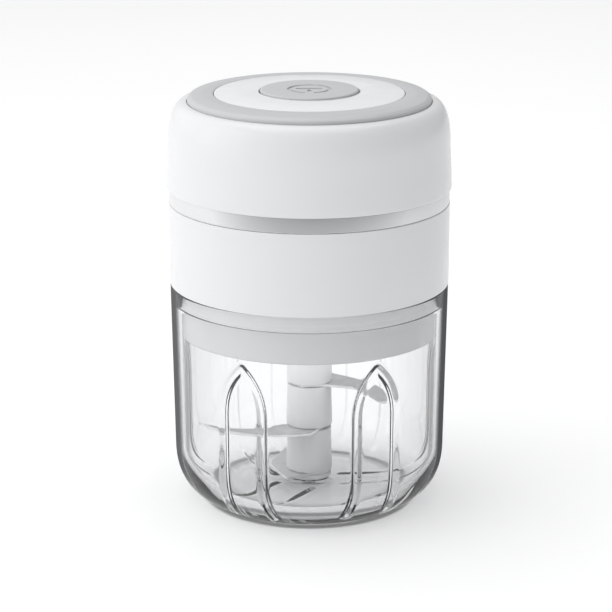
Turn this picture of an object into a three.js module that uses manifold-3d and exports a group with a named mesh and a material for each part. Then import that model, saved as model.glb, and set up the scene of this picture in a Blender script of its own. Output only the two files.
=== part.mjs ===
// A cordless mini food processor: a clear ribbed jar on a spindle pin, a stack of three sickle
// blades that lifts off the pin, and a motor head that sits in the jar's mouth.
// Millimetres. The jar stands on z = 0, the common axis is Z, the front faces -Y.

import * as THREE from "three";
import { mergeVertices } from "three/addons/utils/BufferGeometryUtils.js";
import Module from "manifold-3d";

const wasm = await Module();
wasm.setup();

// ---------------------------------------------------------------- driving dimensions

const SIDES = { large: 36, medium: 20, small: 12, tiny: 8 }; // facets of a full turn
const GAP = 0.3; // between pieces that meet
const SLIP = 0.1; // radial clearance of a turned fit

const JAR = {
  height: 65, rimR: 40, cornerR: 39.2, cornerH: 17.7, footR: 22, squareness: 2.6,
  mouthR: 38.3, ledge: 60.1, innerR: 36.9, innerCornerR: 36.6, innerCornerH: 19,
  floor: 3.5, floorR: 20.5, bossR: 7.4, bossTop: 4.8, boreFloor: 1.6,
};
const DEGREE = Math.PI / 180;
const ARCH = { count: 6, first: 240 * DEGREE, half: 6, width: 2.6, spring: 34, top: 49.8, proud: 1.5 };
const FLOOR_RIB = 1; // height of the star on the jar's floor
const PIN = { radius: 2, low: 1.8, high: 30 };

const HUB = { coreR: 4.4, waistR: 6.4, hemR: 6.7, foot: 5.4, shoulder: 52.2, postR: 4.3, postTop: 58 };
const BLADE = { thickness: 0.9, ringR: 6.2, armpit: -50 * DEGREE };
const BLADES = {
  upper: {
    z: 34.6, turn: 0, root: 62 * DEGREE, heel: [[6.3, 5.9]],
    leading: [[10.6, 3.1], [14, 0.3], [17.9, -3.5], [21, -9.5], [22, -15], [21.4, -20.2]],
    trailing: [[19.4, -19.6], [15.4, -10.9], [12.6, -7.2]],
  },
  middle: {
    z: 21.3, turn: 240 * DEGREE, root: 56 * DEGREE, heel: [[8, 5.2]],
    leading: [[10.5, 2.9], [12.8, -0.1], [16.2, -6], [18.5, -14], [18.4, -22], [16.6, -28]],
    trailing: [[15.5, -18.6], [9.8, -9.2]],
  },
  lower: {
    z: 7.55, turn: 120 * DEGREE, root: 150 * DEGREE, heel: [[-6.3, 11.2], [6.4, 9.3]],
    leading: [[9.6, 7.4], [13, 3.7], [18, -2.2], [20.4, -8], [19.5, -18]],
    trailing: [[17.6, -15.6], [14, -10.4], [10, -7.6]],
  },
};

const HEAD = {
  base: 65.25, seam: 88.5, bandTop: 92.95, outerR: 40.1, innerR: 38.1, bandR: 39.95,
  hemR: 40.6, waist: 105, waistR: 40, crownR: 34.8, crown: 117.3, deck: 116.4, deckUnder: 114.7,
};
const COVER = {
  skirtR: 36.4, skirt: 50.6, floorUnder: 52.8, floor: 54.7, holeR: 8.6, flangeR: 37.7, top: 66.9,
};
const TOP = { ringR: 34.55, plateR: 26.95, plateEdge: 119.5, plate: 120, buttonHoleR: 14.35 };
const BUTTON = { radius: 13.9, top: 120.5, under: 118.6, flangeR: 16.2, flange: 112.6, tip: 112.2 };

const MOTOR = { radius: 13.75, wall: 0.8, low: 66, high: 97.5, shaftR: 1.15, bearingR: 3.1, bossR: 5 };
const ROTOR = { radius: 9.6, low: 71, high: 89, poles: 3 };
const COUPLING = { radius: 7.2, low: 53.2, high: 62, socket: 58.4, neckR: 3.6, neckTop: 63.6 };
const HOLDER = { low: 63.8, high: 65.6, radius: 34, collarTop: 78 };
const CELL = { radius: 7, low: 57, high: 100, x: 24 };
const BOARD = { low: 105.6, high: 107.2, radius: 27, screwY: 22 };
const PORT = {
  z: 77, halfX: 7.3, halfZ: 3.8, face: 38.2, board: 28.2, boardBack: 29.8, screwX: 9, screwZ: 83,
};
const INTERLOCK = { y: -38.75, halfX: 2, low: 65.35, armLow: 69.2, armHigh: 70.6 };
const COVER_SCREW = { circle: 30, bossR: 3.4, boreR: 1.5, head: 54.4, headTop: 56.2, tip: 74 };
const MOTOR_SCREW_Y = 8;

// ---------------------------------------------------------------- shape helpers

const quarterTurn = Math.PI / 2;

// A solid turned about Z from a profile of [radius, z] points that runs counter-clockwise.
function turned(profile, sides = SIDES.large) {
  const onAxis = profile[0][0] === 0;
  const points = (onAxis ? profile : [...profile, profile[0]]).map(([r, z]) => new THREE.Vector2(r, z));
  return new THREE.LatheGeometry(points, sides).rotateX(quarterTurn);
}

const tube = (inner, outer, low, high, sides = SIDES.small) =>
  turned([[inner, low], [outer, low], [outer, high], [inner, high]], sides);

const rod = (radius, low, high, sides = SIDES.small) =>
  turned([[0, low], [radius, low], [radius, high], [0, high]], sides);

const block = ([x0, x1], [y0, y1], [z0, z1]) =>
  new THREE.BoxGeometry(x1 - x0, y1 - y0, z1 - z0).translate((x0 + x1) / 2, (y0 + y1) / 2, (z0 + z1) / 2);

const prism = (outline, low, high, curveSegments = 6) =>
  new THREE.ExtrudeGeometry(outline, { depth: high - low, bevelEnabled: false, curveSegments })
    .translate(0, 0, low);

function circle(radius, sides) {
  const angles = Array.from({ length: sides }, (_, i) => (i * 2 * Math.PI) / sides);
  return angles.map((angle) => new THREE.Vector2(radius * Math.cos(angle), radius * Math.sin(angle)));
}

const moved = (geometry, x, y, z = 0) => geometry.translate(x, y, z);

// What the callback makes for each side of a mirrored pair.
const pair = (make) => [-1, 1].map(make);

// A rounded corner from level at (r0, z0) to upright at (r1, z1). Power 2 is an ellipse, more is squarer.
function corner(r0, z0, r1, z1, power, steps) {
  return Array.from({ length: steps + 1 }, (_, i) => {
    const angle = (i / steps) * quarterTurn;
    const across = Math.sin(angle) ** (2 / power), up = Math.cos(angle) ** (2 / power);
    return [r0 + (r1 - r0) * across, z1 + (z0 - z1) * up];
  });
}

function solidOf(geometry) {
  const bare = geometry.index ? geometry.toNonIndexed() : geometry.clone();
  bare.deleteAttribute("normal");
  bare.deleteAttribute("uv");
  const merged = mergeVertices(bare, 1e-4);
  return new wasm.Manifold(new wasm.Mesh({
    numProp: 3,
    vertProperties: merged.attributes.position.array,
    triVerts: new Uint32Array(merged.index.array),
  }));
}

function geometryOf(solid) {
  const mesh = solid.getMesh();
  const geometry = new THREE.BufferGeometry();
  geometry.setAttribute("position", new THREE.BufferAttribute(mesh.vertProperties, 3));
  geometry.setIndex(new THREE.BufferAttribute(mesh.triVerts, 1));
  const flat = geometry.toNonIndexed();
  flat.computeVertexNormals();
  return flat;
}

const joined = (...pieces) => geometryOf(pieces.map(solidOf).reduce((all, piece) => all.add(piece)));
const cut = (body, ...tools) =>
  geometryOf(tools.map(solidOf).reduce((rest, tool) => rest.subtract(tool), solidOf(body)));
const common = (one, other) => geometryOf(solidOf(one).intersect(solidOf(other)));

// ---------------------------------------------------------------- materials

const surface = (color, roughness, metalness) =>
  new THREE.MeshStandardMaterial({ color, roughness, metalness });
const plastic = (color, roughness = 0.35) => surface(color, roughness, 0);
const metal = (color, roughness = 0.3) => surface(color, roughness, 1);
const MATERIAL = {
  shell: plastic(0xf3f3f4, 0.25),
  grey: plastic(0xc6c7c9, 0.4),
  hub: plastic(0xececee, 0.35),
  clear: plastic(0xf2f6f8, 0.05),
  silicone: plastic(0xe4e4e6, 0.7),
  steel: metal(0xc9ccd0),
  dark: plastic(0x2b2c2f, 0.6),
  board: plastic(0x1f6b43, 0.5),
  copper: metal(0xb4683a, 0.35),
  brass: metal(0xc6a55a, 0.3),
  cell: plastic(0x3a68b4, 0.4),
  red: plastic(0xb8322b, 0.5),
};

MATERIAL.clear.transparent = true;
MATERIAL.clear.opacity = 0.35;

const assembly = new THREE.Group();

function group(parent = assembly) {
  const made = new THREE.Group();
  parent.add(made);
  return made;
}

function place(parent, name, geometry, material, { x = 0, y = 0, z = 0, turn = 0 } = {}) {
  const mesh = new THREE.Mesh(geometry, material);
  mesh.name = name;
  mesh.position.set(x, y, z);
  mesh.rotation.z = turn;
  parent.add(mesh);
  return mesh;
}

// ---------------------------------------------------------------- jar

function jarShell() {
  return turned([
    [0, 0],
    ...corner(JAR.footR, 0, JAR.cornerR, JAR.cornerH, JAR.squareness, 5),
    [JAR.rimR, JAR.height - 0.3],
    [JAR.rimR - 0.3, JAR.height],
    [JAR.mouthR + 0.3, JAR.height],
    [JAR.mouthR, JAR.height - 0.3],
    [JAR.mouthR, JAR.ledge],
    [JAR.innerR, JAR.ledge],
    ...corner(JAR.floorR, JAR.floor, JAR.innerCornerR, JAR.innerCornerH, JAR.squareness, 5).reverse(),
    [JAR.bossR, JAR.floor],
    [JAR.bossR - 1.6, JAR.floor + 0.8],
    [5.4, JAR.bossTop],
    [PIN.radius + SLIP / 2, JAR.bossTop],
    [PIN.radius + SLIP / 2, JAR.boreFloor],
    [0, JAR.boreFloor],
  ]);
}

// The skin that the ribs stand in: a little sunk in the wall and floor, and proud of them.
function ribSkin(reach) {
  const sunk = 0.4, height = ARCH.top + 2;
  const outside = corner(JAR.floorR, JAR.floor - sunk, JAR.innerCornerR + sunk, JAR.innerCornerH, 2.6, 4);
  const crest = JAR.floor + FLOOR_RIB;
  const inside = corner(JAR.floorR - 0.6, crest, JAR.innerCornerR - ARCH.proud, JAR.innerCornerH + 1, 2.4, 4);
  const beyond = ([r]) => r > reach;
  return turned([
    [reach, JAR.floor - sunk],
    ...outside.filter(beyond),
    [JAR.innerR + sunk - 0.05, height],
    [JAR.innerR - ARCH.proud, height],
    ...inside.filter(beyond).reverse(),
    [reach, reach < JAR.floorR ? crest : JAR.floor + 0.1],
  ]);
}

// A pointed arch, seen square on: two legs to the floor that meet in a point.
function archPlan() {
  const outer = ARCH.half + ARCH.width / 2, inner = ARCH.half - ARCH.width / 2;
  const innerTop = ARCH.top - 1.6 * ARCH.width, lift = 9;
  const plan = new THREE.Shape();
  plan.moveTo(-outer, 0);
  plan.lineTo(-outer, ARCH.spring);
  plan.quadraticCurveTo(-outer, ARCH.spring + lift, 0, ARCH.top);
  plan.quadraticCurveTo(outer, ARCH.spring + lift, outer, ARCH.spring);
  plan.lineTo(outer, 0);
  plan.lineTo(inner, 0);
  plan.lineTo(inner, ARCH.spring);
  plan.quadraticCurveTo(inner, ARCH.spring + lift - 1, 0, innerTop);
  plan.quadraticCurveTo(-inner, ARCH.spring + lift - 1, -inner, ARCH.spring);
  plan.lineTo(-inner, 0);
  plan.closePath();
  return plan;
}

// Every second arch runs on over the floor, and the three together draw a three-armed star.
function jar() {
  const floorRib = 3.2, wallRib = 28.5;
  const skins = [floorRib, wallRib].map(ribSkin);
  const ribs = Array.from({ length: ARCH.count }, (_, i) => {
    const band = prism(archPlan(), 1, JAR.rimR - 1, 3).rotateX(quarterTurn).rotateZ(quarterTurn);
    return common(skins[i % 2], band.rotateZ(ARCH.first + (i * 2 * Math.PI) / ARCH.count));
  });
  return joined(jarShell(), ...ribs);
}

const jarGroup = group();
place(jarGroup, "jar", jar(), MATERIAL.clear);
place(jarGroup, "spindle_pin", turned([
  [0, PIN.low],
  [PIN.radius, PIN.low],
  [PIN.radius, PIN.high - 0.6],
  [PIN.radius - 0.6, PIN.high],
  [0, PIN.high],
], SIDES.small), MATERIAL.steel);

// ---------------------------------------------------------------- blade stack

function driveShaft() {
  const bore = PIN.radius + SLIP, seat = BLADES.upper.z + BLADE.thickness / 2 + 0.05;
  const body = turned([
    [0, PIN.high + 0.8],
    [bore, PIN.high + 0.8],
    [bore, HUB.foot],
    [HUB.coreR, HUB.foot],
    [HUB.coreR, seat],
    [HUB.hemR, seat],
    [HUB.waistR, HUB.shoulder - 0.5],
    [HUB.waistR - 0.5, HUB.shoulder],
    [0, HUB.shoulder],
  ], SIDES.medium);
  const post = turned([
    [0, HUB.shoulder - 1],
    [HUB.postR, HUB.shoulder - 1],
    [HUB.postR, HUB.postTop - 0.8],
    [HUB.postR - 0.8, HUB.postTop],
    [0, HUB.postTop],
  ], 6);
  return joined(body, post);
}

// A collar of the hub between two blades, slightly wider at its hem.
const spacer = (low, high) => turned([
  [HUB.coreR + SLIP, low],
  [HUB.hemR, low],
  [HUB.hemR, low + 1.2],
  [HUB.waistR, high],
  [HUB.coreR + SLIP, high],
], SIDES.medium);

// A sickle: from the ring out to a square heel, along the leading edge and round towards -Y to the tip,
// and back to the ring along the trailing edge.
function bladePlan({ root, heel, leading, trailing }) {
  const through = (points) => points.map((point) => new THREE.Vector2(...point));
  const onRing = (angle) => [BLADE.ringR * Math.cos(angle), BLADE.ringR * Math.sin(angle)];
  const plan = new THREE.Shape();
  plan.moveTo(...onRing(root));
  heel.forEach((corner) => plan.lineTo(...corner));
  plan.splineThru(through(leading));
  plan.splineThru(through([...trailing, onRing(BLADE.armpit)]));
  plan.absarc(0, 0, BLADE.ringR, BLADE.armpit, root, true);
  plan.holes.push(new THREE.Path().setFromPoints(circle(HUB.coreR + SLIP, SIDES.medium)));
  return plan;
}

const bladeGroup = group();
place(bladeGroup, "drive_shaft", driveShaft(), MATERIAL.hub);
for (const [level, shape] of Object.entries(BLADES)) {
  const plate = prism(bladePlan(shape), -BLADE.thickness / 2, BLADE.thickness / 2, 2);
  place(bladeGroup, "blade_" + level, plate, MATERIAL.steel, { z: shape.z, turn: shape.turn });
}
const above = ({ z }) => z + BLADE.thickness / 2 + 0.05;
const below = ({ z }) => z - BLADE.thickness / 2 - 0.05;
const { upper, middle, lower } = BLADES;
place(bladeGroup, "hub_spacer_upper", spacer(above(middle), below(upper)), MATERIAL.hub);
place(bladeGroup, "hub_spacer_lower", spacer(above(lower), below(middle)), MATERIAL.hub);
const endRing = tube(HUB.coreR + SLIP, HUB.waistR, HUB.foot, below(lower), SIDES.medium);
place(bladeGroup, "hub_end_ring", endRing, MATERIAL.hub);

// ---------------------------------------------------------------- head: housings

const coverScrewSpots = [45, 135, 225, 315].map((degrees) => {
  const angle = degrees * DEGREE;
  return [COVER_SCREW.circle * Math.cos(angle), COVER_SCREW.circle * Math.sin(angle), angle];
});

function bottomCover() {
  const collarIn = 10.4, collarOut = 12.2, collarTop = 58, wallIn = 34.6, flangeIn = 35.2;
  const shell = turned([
    [COVER.holeR, COVER.floorUnder],
    [wallIn - 0.4, COVER.floorUnder],
    [wallIn, COVER.skirt],
    [COVER.skirtR - 0.2, COVER.skirt],
    [COVER.skirtR, COVER.skirt + 0.3],
    [COVER.skirtR, HEAD.base - 0.1],
    [COVER.flangeR, HEAD.base - 0.1],
    [COVER.flangeR, COVER.top],
    [flangeIn, COVER.top],
    [wallIn, COVER.floor],
    [collarOut, COVER.floor],
    [collarOut, collarTop],
    [collarIn, collarTop],
    [collarIn, COVER.floor],
    [COVER.holeR, COVER.floor],
  ]);
  const bosses = coverScrewSpots.map(([x, y]) =>
    moved(rod(COVER_SCREW.bossR + 0.9, COVER.floor - 0.5, HOLDER.low - GAP, SIDES.small), x, y));
  const holes = coverScrewSpots.flatMap(([x, y]) => [
    moved(rod(1.7, COVER.floorUnder - 1, HOLDER.low + 1, SIDES.tiny), x, y),
    moved(rod(3.1, COVER.floorUnder - 1, COVER_SCREW.headTop + 0.1, SIDES.tiny), x, y),
  ]);
  return cut(joined(shell, ...bosses), ...holes);
}

function lowerHousing() {
  const wall = turned([
    [HEAD.innerR, HEAD.base],
    [HEAD.outerR - 0.2, HEAD.base],
    [HEAD.outerR, HEAD.base + 0.3],
    [HEAD.outerR, HEAD.seam],
    [HEAD.innerR, HEAD.seam],
  ]);
  const bossLow = HOLDER.high + GAP, bossHigh = COVER_SCREW.tip + 2;
  const posts = coverScrewSpots.flatMap(([x, y, angle]) => [
    moved(rod(COVER_SCREW.bossR, bossLow, bossHigh, SIDES.small), x, y),
    block([COVER_SCREW.circle + 2, HEAD.innerR + 0.6], [-0.8, 0.8], [COVER.top + GAP, bossHigh])
      .rotateZ(angle),
  ]);
  const portPad = block([-9.2, 9.2], [35.8, 38.6], [PORT.z - 5.2, PORT.z + 5.2]);
  const portPosts = pair((side) => acrossRod(2, PORT.boardBack + 0.1, 38.2, side * PORT.screwX, PORT.screwZ));
  const portBores = pair((side) => acrossRod(0.95, PORT.boardBack - 1, 34, side * PORT.screwX, PORT.screwZ));
  const pinWay = INTERLOCK.halfX + GAP;
  const switchPad = block([-3.4, 3.4], [-38.6, -36.3], [72, 77]);
  const bores = coverScrewSpots.map(([x, y]) =>
    moved(rod(COVER_SCREW.boreR, bossLow - 1, COVER_SCREW.tip + 0.3, SIDES.tiny), x, y));
  return cut(
    joined(wall, ...posts, portPad, ...portPosts, switchPad),
    ...bores,
    block([-PORT.halfX, PORT.halfX], [PORT.face, 42], [PORT.z - PORT.halfZ, PORT.z + PORT.halfZ]),
    block([-4.9, 4.9], [35, 39], [PORT.z - 1.8, PORT.z + 1.8]),
    block([-pinWay, pinWay], [-39.5, -37.8], [HEAD.base - 1, INTERLOCK.armHigh + 0.6]),
    ...portBores,
  );
}

// A rod along Y from y0 to y1, at (x, z).
function acrossRod(radius, y0, y1, x, z) {
  return rod(radius, 0, y1 - y0, SIDES.tiny).rotateX(-quarterTurn).translate(x, y0, z);
}

const seamBand = () => turned([
  [36.6, 85.7], [37.8, 85.7], [37.8, HEAD.seam + 0.1], [HEAD.bandR, HEAD.seam + 0.1],
  [HEAD.bandR, HEAD.bandTop - 0.1], [38.1, HEAD.bandTop - 0.1], [38.1, 96], [36.9, 96],
]);

function upperHousing() {
  const outside = corner(HEAD.crownR, HEAD.crown, HEAD.waistR, HEAD.waist, 2.5, 5).reverse();
  const inside = corner(HEAD.crownR - 1, HEAD.deckUnder, HEAD.waistR - 2, HEAD.waist, 2.5, 3);
  const shell = turned([
    [HEAD.hemR - 2.2, HEAD.bandTop],
    [HEAD.hemR, HEAD.bandTop],
    [HEAD.hemR - 0.1, HEAD.bandTop + 3],
    ...outside,
    [HEAD.crownR, HEAD.deck],
    [TOP.buttonHoleR, HEAD.deck],
    [TOP.buttonHoleR, HEAD.deckUnder],
    ...inside,
  ]);
  const bosses = pair((side) =>
    moved(rod(3, BOARD.high + GAP, HEAD.deckUnder + 0.5, SIDES.tiny), 0, side * BOARD.screwY));
  const bores = pair((side) => moved(rod(1.05, BOARD.high, 112.4, SIDES.tiny), 0, side * BOARD.screwY));
  return cut(joined(shell, ...bosses), ...bores);
}

const trimRing = () => turned([
  [TOP.plateR + 0.2, HEAD.deck + 0.1], [TOP.ringR, HEAD.deck + 0.1], [TOP.ringR, HEAD.crown + 0.05],
  [33.4, 118.2], [31.4, 118.95], [29.3, 119.35], [TOP.plateR + 0.2, TOP.plateEdge],
]);

const topPlate = () => turned([
  [TOP.buttonHoleR, HEAD.deck + 0.1], [TOP.plateR, HEAD.deck + 0.1], [TOP.plateR, TOP.plateEdge],
  [20, 119.85], [TOP.buttonHoleR + 0.2, TOP.plate], [TOP.buttonHoleR, TOP.plate - 0.2],
]);

const sealRing = () => turned([
  [COVER.skirtR + 0.3, 60.4], [38, 60.6], [38, 64.7], [COVER.skirtR + 0.3, 64.9],
]);

const headGroup = group();
place(headGroup, "bottom_cover", bottomCover(), MATERIAL.shell);
place(headGroup, "seal_ring", sealRing(), MATERIAL.silicone);
place(headGroup, "shaft_seal", tube(7.6, 10.1, COVER.floor + 0.1, 57.6, SIDES.medium), MATERIAL.silicone);
place(headGroup, "lower_housing", lowerHousing(), MATERIAL.shell);
place(headGroup, "seam_band", seamBand(), MATERIAL.grey);
place(headGroup, "upper_housing", upperHousing(), MATERIAL.shell);
place(headGroup, "trim_ring", trimRing(), MATERIAL.grey);
place(headGroup, "top_plate", topPlate(), MATERIAL.shell);

// A screw that points up: its head starts at z = 0.
const screw = (headR, headH, shankR, length) => turned([
  [0, 0], [headR, 0], [headR, headH], [shankR, headH], [shankR, length - shankR], [0, length],
], SIDES.tiny);

const coverScrewHead = COVER_SCREW.headTop - COVER_SCREW.head;
const coverScrew = screw(2.7, coverScrewHead, 1.35, COVER_SCREW.tip - COVER_SCREW.head);
coverScrewSpots.forEach(([x, y], i) =>
  place(headGroup, "cover_screw_" + (i + 1), coverScrew, MATERIAL.steel, { x, y, z: COVER_SCREW.head }));

// ---------------------------------------------------------------- head: button

const buttonGroup = group(headGroup);
place(buttonGroup, "button_cap", turned([
  [0, BUTTON.tip],
  [2.6, BUTTON.tip],
  [2.6, BUTTON.under],
  [BUTTON.radius - 1.6, BUTTON.under],
  [BUTTON.radius - 1.6, BUTTON.flange],
  [BUTTON.flangeR, BUTTON.flange],
  [BUTTON.flangeR, HEAD.deckUnder - 0.4],
  [BUTTON.radius, HEAD.deckUnder - 0.4],
  [BUTTON.radius, BUTTON.top - 0.6],
  [BUTTON.radius - 0.9, BUTTON.top],
  [0, BUTTON.top],
], 24), MATERIAL.grey);
place(buttonGroup, "switch_plunger", rod(1.7, 108.9, BUTTON.tip - 0.1), MATERIAL.dark);

// A wire: a round section swept along a smooth path through the given points.
function wire(points, radius, steps) {
  const section = new THREE.Shape(circle(radius, 6));
  const extrudePath = new THREE.CatmullRomCurve3(points.map((p) => new THREE.Vector3(...p)));
  return new THREE.ExtrudeGeometry(section, { steps, extrudePath });
}

function coilSpring(radius, low, high, turns, wireR) {
  const perTurn = 9;
  const points = Array.from({ length: turns * perTurn + 1 }, (_, i) => {
    const angle = (i / perTurn) * 2 * Math.PI;
    return [radius * Math.cos(angle), radius * Math.sin(angle), low + ((high - low) * i) / (turns * perTurn)];
  });
  return wire(points, wireR, turns * perTurn);
}

const spring = coilSpring(6.6, BOARD.high + 0.8, BUTTON.under - 0.8, 4, 0.4);
place(headGroup, "button_spring", spring, MATERIAL.steel);

// ---------------------------------------------------------------- head: boards and cells

function controlBoard() {
  const hole = rod(1.3, BOARD.low - 1, BOARD.high + 1, SIDES.tiny);
  const holes = pair((side) => moved(hole.clone(), 0, side * BOARD.screwY));
  return cut(rod(BOARD.radius, BOARD.low, BOARD.high, SIDES.medium), ...holes);
}
const switchBody = cut(block([-3, 3], [-3, 3], [BOARD.high + 0.05, 110.7]), rod(2.1, 106, 112, SIDES.tiny));
const chip = block([-2.5, 2.5], [-15.5, -11.5], [BOARD.low - 1.7, BOARD.low - 0.05]);
place(headGroup, "control_board", controlBoard(), MATERIAL.board);
place(headGroup, "switch_body", switchBody, MATERIAL.dark);
place(headGroup, "control_chip", chip, MATERIAL.dark);
const boardScrew = screw(2.3, 1.5, 0.95, 8);
pair((side) => side * BOARD.screwY).forEach((y, i) =>
  place(headGroup, "board_screw_" + (i + 1), boardScrew, MATERIAL.steel, { y, z: BOARD.low - 1.55 }));

const cell = turned([
  [0, CELL.low],
  [CELL.radius - 0.4, CELL.low],
  [CELL.radius, CELL.low + 0.4],
  [CELL.radius, CELL.high - 0.4],
  [CELL.radius - 0.4, CELL.high],
  [3, CELL.high],
  [3, CELL.high + 0.9],
  [0, CELL.high + 0.9],
], SIDES.medium);
pair((side) => side * CELL.x).forEach((x, i) =>
  place(headGroup, "cell_" + (i + 1), cell, MATERIAL.cell, { x }));

function chargeBoard() {
  const { board, boardBack, screwX, screwZ } = PORT;
  const holes = pair((side) => acrossRod(1.2, board - 1, boardBack + 1, side * screwX, screwZ));
  return cut(block([-12, 12], [board, boardBack], [68, 86]), ...holes);
}
place(headGroup, "charge_board", chargeBoard(), MATERIAL.board);
const chargeScrew = screw(1.9, 1.2, 0.85, 5.6).rotateX(-quarterTurn);
pair((side) => side * PORT.screwX).forEach((x, i) => {
  const seat = { x, y: PORT.board - 1.25, z: PORT.screwZ };
  place(headGroup, "charge_screw_" + (i + 1), chargeScrew, MATERIAL.steel, seat);
});

function usbSocket() {
  const back = PORT.boardBack + 0.1, mouth = 36.4;
  const shell = cut(
    block([-4.5, 4.5], [back, mouth], [PORT.z - 1.6, PORT.z + 1.6]),
    block([-4.2, 4.2], [back + 1, mouth + 1], [PORT.z - 1.3, PORT.z + 1.3]),
  );
  return joined(shell, block([-3.3, 3.3], [back + 0.5, mouth - 0.6], [PORT.z - 0.35, PORT.z + 0.35]));
}
place(headGroup, "usb_socket", usbSocket(), MATERIAL.steel);

// The silicone flap over the socket: its outer face follows the housing, its tongue fills the hole.
function portPlug() {
  const halfX = PORT.halfX - 0.4, halfZ = PORT.halfZ - 0.3;
  const flap = common(
    block([-halfX, halfX], [PORT.face + 0.3, 42], [PORT.z - halfZ, PORT.z + halfZ]),
    rod(HEAD.outerR - 0.05, PORT.z - 8, PORT.z + 8, SIDES.large),
  );
  return joined(flap, block([-4, 4], [36.7, PORT.face + 0.5], [PORT.z - 1.1, PORT.z + 1.1]));
}
place(group(headGroup), "port_plug", portPlug(), MATERIAL.silicone);

// ---------------------------------------------------------------- head: lid interlock

function interlockPin() {
  const { halfX, y, low, armLow, armHigh } = INTERLOCK;
  return joined(
    block([-halfX, halfX], [y - 0.5, y + 0.5], [low, armHigh]),
    block([-halfX, halfX], [y, -34], [armLow, armHigh]),
  );
}
place(group(headGroup), "interlock_pin", interlockPin(), MATERIAL.shell);
const interlockSwitch = block([-3, 3], [-36, -31], [INTERLOCK.armHigh + 0.3, 77]);
place(headGroup, "interlock_switch", interlockSwitch, MATERIAL.dark);

// ---------------------------------------------------------------- motor

const motorGroup = group(headGroup);

function motorHolder() {
  const plate = rod(HOLDER.radius, HOLDER.low, HOLDER.high, SIDES.large);
  const collarR = MOTOR.radius + 0.4;
  const collar = tube(collarR, collarR + 1.5, HOLDER.high - 0.5, HOLDER.collarTop, SIDES.medium);
  const through = (radius, x, y, sides) => moved(rod(radius, HOLDER.low - 1, HOLDER.high + 1, sides), x, y);
  return cut(
    joined(plate, collar),
    through(MOTOR.bossR + 0.4, 0, 0, SIDES.medium),
    through(1.6, 0, MOTOR_SCREW_Y, SIDES.tiny),
    through(1.6, 0, -MOTOR_SCREW_Y, SIDES.tiny),
    through(CELL.radius + 0.4, CELL.x, 0, SIDES.medium),
    through(CELL.radius + 0.4, -CELL.x, 0, SIDES.medium),
    ...coverScrewSpots.map(([x, y]) => through(1.8, x, y, SIDES.tiny)),
  );
}
place(motorGroup, "motor_holder", motorHolder(), MATERIAL.hub);

function motorCan() {
  const inside = MOTOR.radius - MOTOR.wall, frontBoss = HOLDER.low + 0.4;
  const shell = turned([
    [MOTOR.bearingR + SLIP, frontBoss],
    [MOTOR.bossR, frontBoss],
    [MOTOR.bossR, MOTOR.low],
    [MOTOR.radius, MOTOR.low],
    [MOTOR.radius, MOTOR.high],
    [inside, MOTOR.high],
    [inside, MOTOR.low + 1.2],
    [MOTOR.bearingR + SLIP, MOTOR.low + 1.2],
  ], SIDES.medium);
  const screwHole = (y) => moved(rod(1.35, MOTOR.low - 1, MOTOR.low + 2, SIDES.tiny), 0, y);
  return cut(shell, screwHole(MOTOR_SCREW_Y), screwHole(-MOTOR_SCREW_Y));
}
place(motorGroup, "motor_can", motorCan(), MATERIAL.steel);
place(motorGroup, "motor_end_bell", turned([
  [MOTOR.bearingR + SLIP, 97.7],
  [13.7, 97.7],
  [13.7, 99.6],
  [11, 100.5],
  [MOTOR.bossR, 100.5],
  [MOTOR.bossR, 101.8],
  [MOTOR.bearingR + SLIP, 101.8],
], SIDES.medium), MATERIAL.dark);

// A magnet: an arc of the ring between the rotor and the can.
function magnetPlan() {
  const half = 1.1, plan = new THREE.Shape();
  plan.absarc(0, 0, 12.6, -half, half, false);
  plan.absarc(0, 0, 10.2, half, -half, true);
  plan.closePath();
  return plan;
}
const magnetGeometry = prism(magnetPlan(), 70, 90, 6);
[0, Math.PI].forEach((turn, i) =>
  place(motorGroup, "motor_magnet_" + (i + 1), magnetGeometry, MATERIAL.dark, { turn }));

const bearing = (low, high) => tube(MOTOR.shaftR + SLIP, MOTOR.bearingR, low, high);
place(motorGroup, "motor_bearing_front", bearing(64.4, 67.1), MATERIAL.brass);
place(motorGroup, "motor_bearing_rear", bearing(97.8, 101), MATERIAL.brass);

const brush = joined(
  block([3.7, 6.4], [-1.3, 1.3], [92.6, 95.6]),
  block([6.3, 6.7], [-1.3, 1.3], [92.6, 97.6]),
);
[0, Math.PI].forEach((turn, i) =>
  place(motorGroup, "motor_brush_" + (i + 1), brush, MATERIAL.copper, { turn }));

const motorScrew = screw(2.2, 1.3, 1.2, 4.6);
pair((side) => side * MOTOR_SCREW_Y).forEach((y, i) =>
  place(motorGroup, "motor_screw_" + (i + 1), motorScrew, MATERIAL.steel, { y, z: HOLDER.low - 1.35 }));

// The armature's plan: a boss with one T-shaped pole for each coil, grown all round by the given margin.
function polePlan(grow) {
  const neck = 2.1 + grow, root = 3.6 + grow, tipIn = 7.9 - grow, tipOut = ROTOR.radius + grow;
  const reach = (0.82 * Math.PI) / ROTOR.poles + grow / ROTOR.radius;
  const plan = new THREE.Shape();
  for (let pole = 0; pole < ROTOR.poles; pole++) {
    const angle = (pole * 2 * Math.PI) / ROTOR.poles;
    const spot = (r, side) => {
      const spread = Math.asin(neck / r) * side;
      return [r * Math.cos(angle + spread), r * Math.sin(angle + spread)];
    };
    if (pole === 0) plan.moveTo(...spot(root, -1));
    else plan.lineTo(...spot(root, -1));
    plan.lineTo(...spot(tipIn, -1));
    plan.lineTo(tipIn * Math.cos(angle - reach), tipIn * Math.sin(angle - reach));
    plan.absarc(0, 0, tipOut, angle - reach, angle + reach, false);
    plan.lineTo(tipIn * Math.cos(angle + reach), tipIn * Math.sin(angle + reach));
    plan.lineTo(...spot(tipIn, 1));
    plan.lineTo(...spot(root, 1));
  }
  plan.closePath();
  return plan;
}

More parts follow.
